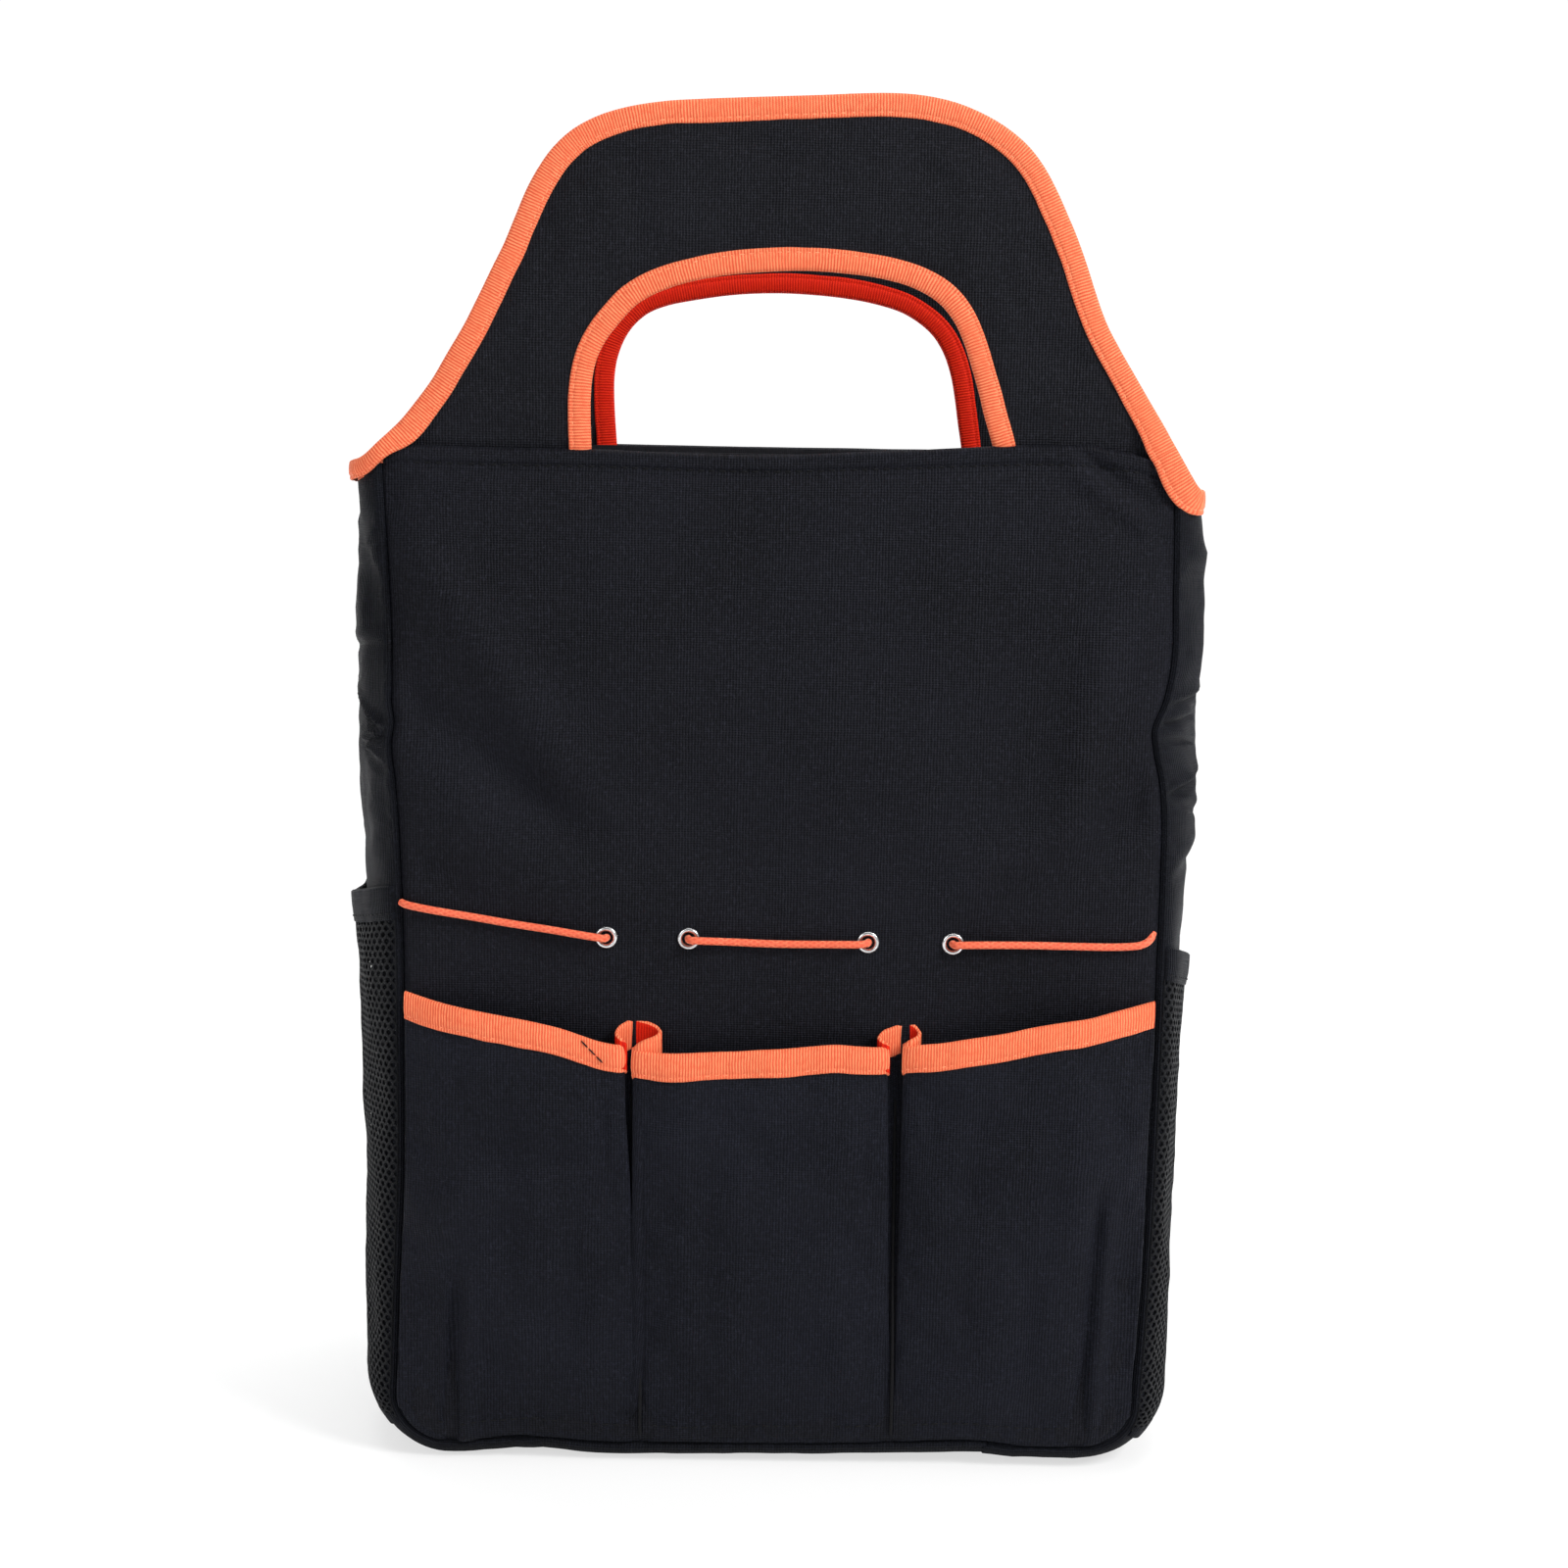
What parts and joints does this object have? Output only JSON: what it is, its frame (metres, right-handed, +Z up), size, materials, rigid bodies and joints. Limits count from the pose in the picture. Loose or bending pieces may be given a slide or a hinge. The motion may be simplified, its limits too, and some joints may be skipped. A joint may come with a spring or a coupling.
{
  "type": "garden tool bag",
  "caption": "Open-topped fabric tool tote with arched handle panels, pleated front pockets, side mesh pockets and an elastic cord laced through eyelets.",
  "frame": {"origin": "centre of the flat base, on the ground", "axes": "+X to the right seen from the front, +Y from the pocketed front to the back, +Z up"},
  "size_m": [0.341, 0.1624, 0.52],
  "materials": {
    "oxford_black": "woven coated oxford cloth, near black",
    "pocket_cloth": "woven oxford cloth, near black",
    "lining_cloth": "smooth woven lining, near black",
    "foam": "soft closed-cell foam sheet",
    "stiff_board": "stiff plastic board",
    "seam_tape": "black woven seam tape",
    "edging_orange": "ribbed woven edging tape, bright orange",
    "mesh_cloth": "open knitted mesh, black",
    "elastic_cord": "braided elastic cord, orange",
    "eyelet_metal": "plated pressed metal"
  },
  "bodies": {
    "shell": {"front_panel": "oxford_black", "back_panel": "oxford_black", "side_gusset_left": "oxford_black", "side_gusset_right": "oxford_black", "bottom_panel": "oxford_black", "pocket_pleat_left": "pocket_cloth", "pocket_pleat_right": "pocket_cloth", "front_lining": "lining_cloth", "back_lining": "lining_cloth", "base_lining": "lining_cloth", "front_foam": "foam", "back_foam": "foam", "base_board": "stiff_board", "front_seam_binding": "seam_tape", "back_seam_binding": "seam_tape", "rim_binding_left": "edging_orange", "rim_binding_right": "edging_orange", "pleat_binding_left": "edging_orange", "pleat_binding_right": "edging_orange", "cord_inner_left": "elastic_cord", "cord_inner_right": "elastic_cord", "eyelet_1": "eyelet_metal", "eyelet_2": "eyelet_metal", "eyelet_3": "eyelet_metal", "eyelet_4": "eyelet_metal", "eyelet_washer_1": "eyelet_metal", "eyelet_washer_2": "eyelet_metal", "eyelet_washer_3": "eyelet_metal", "eyelet_washer_4": "eyelet_metal"},
    "front_handle": {"front_handle_panel": "oxford_black", "front_handle_foam": "foam", "front_handle_lining": "oxford_black", "front_handle_edge_binding": "edging_orange", "front_handle_hole_binding": "edging_orange"},
    "back_handle": {"back_handle_panel": "oxford_black", "back_handle_foam": "foam", "back_handle_lining": "oxford_black", "back_handle_edge_binding": "edging_orange", "back_handle_hole_binding": "edging_orange"},
    "pocket_left": {"pocket_panel_left": "pocket_cloth", "pocket_binding_left": "edging_orange"},
    "pocket_center": {"pocket_panel_center": "pocket_cloth", "pocket_binding_center": "edging_orange"},
    "pocket_right": {"pocket_panel_right": "pocket_cloth", "pocket_binding_right": "edging_orange"},
    "mesh_left": {"mesh_pocket_left": "mesh_cloth", "mesh_hem_left": "oxford_black"},
    "mesh_right": {"mesh_pocket_right": "mesh_cloth", "mesh_hem_right": "oxford_black"},
    "cord_left": {"cord_run_left": "elastic_cord"},
    "cord_center": {"cord_run_center": "elastic_cord"},
    "cord_right": {"cord_run_right": "elastic_cord"}
  },
  "joints": [
    {"name": "front_handle_swing", "type": "hinge", "parent": "shell", "child": "front_handle", "pos_m": [0, -0.0731, 0.393], "axis": [1, 0, 0], "range_deg": [-32, 100], "stiffness_Nm_per_rad": 0.12},
    {"name": "back_handle_swing", "type": "hinge", "parent": "shell", "child": "back_handle", "pos_m": [0, 0.0731, 0.393], "axis": [-1, 0, 0], "range_deg": [-32, 100], "stiffness_Nm_per_rad": 0.12},
    {"name": "pocket_left_open", "type": "hinge", "parent": "shell", "child": "pocket_left", "pos_m": [-0.097, -0.0755, 0.014], "axis": [1, 0, 0], "range_deg": [0, 12], "stiffness_Nm_per_rad": 0.05},
    {"name": "pocket_center_open", "type": "hinge", "parent": "shell", "child": "pocket_center", "pos_m": [-0.002, -0.0755, 0.014], "axis": [1, 0, 0], "range_deg": [0, 12], "stiffness_Nm_per_rad": 0.05},
    {"name": "pocket_right_open", "type": "hinge", "parent": "shell", "child": "pocket_right", "pos_m": [0.095, -0.0755, 0.014], "axis": [1, 0, 0], "range_deg": [0, 12], "stiffness_Nm_per_rad": 0.05},
    {"name": "mesh_left_open", "type": "hinge", "parent": "shell", "child": "mesh_left", "pos_m": [-0.15, 0, 0.0123], "axis": [0, -1, 0], "range_deg": [0, 10], "stiffness_Nm_per_rad": 0.05},
    {"name": "mesh_right_open", "type": "hinge", "parent": "shell", "child": "mesh_right", "pos_m": [0.15, 0, 0.0123], "axis": [0, 1, 0], "range_deg": [0, 10], "stiffness_Nm_per_rad": 0.05},
    {"name": "cord_left_stretch", "type": "slide", "parent": "shell", "child": "cord_left", "axis": [0, -1, 0], "range_m": [0, 0.012], "stiffness_N_per_m": 150},
    {"name": "cord_center_stretch", "type": "slide", "parent": "shell", "child": "cord_center", "axis": [0, -1, 0], "range_m": [0, 0.012], "stiffness_N_per_m": 150},
    {"name": "cord_right_stretch", "type": "slide", "parent": "shell", "child": "cord_right", "axis": [0, -1, 0], "range_m": [0, 0.012], "stiffness_N_per_m": 150}
  ]
}
